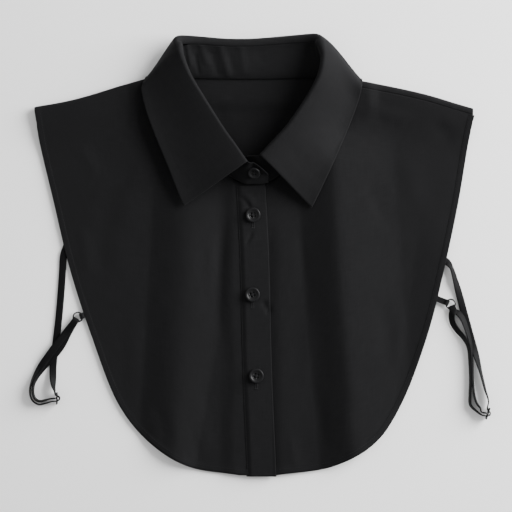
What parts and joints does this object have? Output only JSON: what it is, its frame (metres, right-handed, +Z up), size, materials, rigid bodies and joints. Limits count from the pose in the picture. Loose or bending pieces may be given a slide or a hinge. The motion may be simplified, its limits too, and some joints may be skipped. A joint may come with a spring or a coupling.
{
  "type": "detachable shirt collar",
  "caption": "Black woven cotton false collar with a pointed leaf, buttoned placket fronts, a short back and elastic side straps, laid flat.",
  "frame": {"origin": "on the underside of the back panel, on the line of the centre front, 186 mm above the hem", "axes": "+Z up from the surface it lies on, towards the viewer; +Y from the hem to the neck; +X to the wearer's left"},
  "size_m": [0.3922, 0.3755, 0.0301],
  "materials": {
    "shirting": "matte plain-weave cotton",
    "elastic": "flat woven elastic",
    "button_resin": "polished",
    "slider_plastic": "polished",
    "ring_metal": "black enamel, glossy"
  },
  "bodies": {
    "root": {"back": "shirting", "front_right": "shirting", "front_left": "shirting", "button_band": "shirting", "collar_stand": "shirting", "collar_leaf": "shirting", "button_1": "button_resin", "button_2": "button_resin", "button_3": "button_resin", "button_collar": "button_resin", "strap_right": "elastic", "strap_left": "elastic", "slider_right": "slider_plastic", "slider_left": "slider_plastic", "ring_right": "ring_metal", "ring_left": "ring_metal", "tab_right": "shirting", "tab_left": "shirting"}
  },
  "joints": []
}
